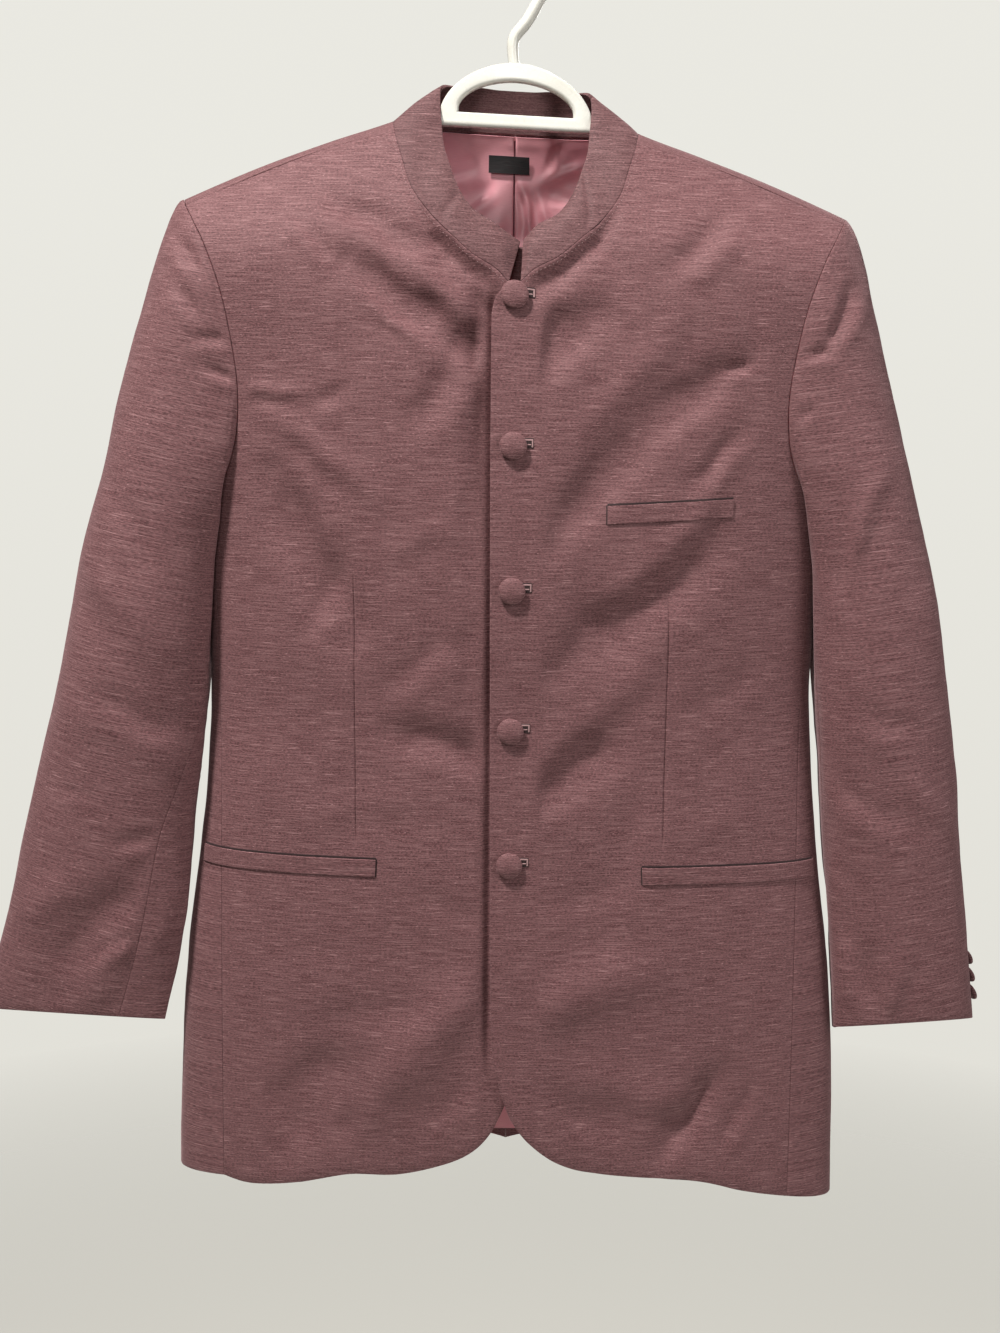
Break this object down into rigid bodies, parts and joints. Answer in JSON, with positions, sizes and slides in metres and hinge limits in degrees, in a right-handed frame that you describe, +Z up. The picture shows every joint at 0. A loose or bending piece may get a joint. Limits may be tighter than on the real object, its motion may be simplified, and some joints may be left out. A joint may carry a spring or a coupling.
{
  "type": "mandarin collar blazer on a clothes hanger",
  "caption": "Long-sleeved lined blazer with a stand collar, covered buttons, welt pockets and a rounded front hem, hanging hollow on a moulded hanger.",
  "frame": {"origin": "top inside of the hanger's hook, where the rail bears", "axes": "+Z up, -Y out of the garment's front, +X towards the wearer's left"},
  "size_m": [0.7817, 0.1218, 0.9658],
  "materials": {
    "sharkskin": "two-tone burgundy worsted with short light slubs and a soft sheen",
    "satin_lining": "rose satin lining with a soft gloss",
    "label_cloth": "black woven tape, bare",
    "hanger_plastic": "white moulded plastic, satin gloss"
  },
  "bodies": {
    "root": {"front_left": "sharkskin", "side_left": "sharkskin", "back_left": "sharkskin", "front_right": "sharkskin", "side_right": "sharkskin", "back_right": "sharkskin", "sleeve_left_top": "sharkskin", "sleeve_left_under": "sharkskin", "sleeve_right_top": "sharkskin", "sleeve_right_under": "sharkskin", "pocket_welt_left": "sharkskin", "pocket_welt_right": "sharkskin", "collar": "sharkskin", "breast_welt": "sharkskin", "front_button_1": "sharkskin", "front_button_2": "sharkskin", "front_button_3": "sharkskin", "front_button_4": "sharkskin", "front_button_5": "sharkskin", "cuff_button_left_1": "sharkskin", "cuff_button_left_2": "sharkskin", "cuff_button_left_3": "sharkskin", "cuff_button_right_1": "sharkskin", "cuff_button_right_2": "sharkskin", "cuff_button_right_3": "sharkskin", "back_lining": "satin_lining", "neck_label": "label_cloth", "hanger": "hanger_plastic"}
  },
  "joints": []
}
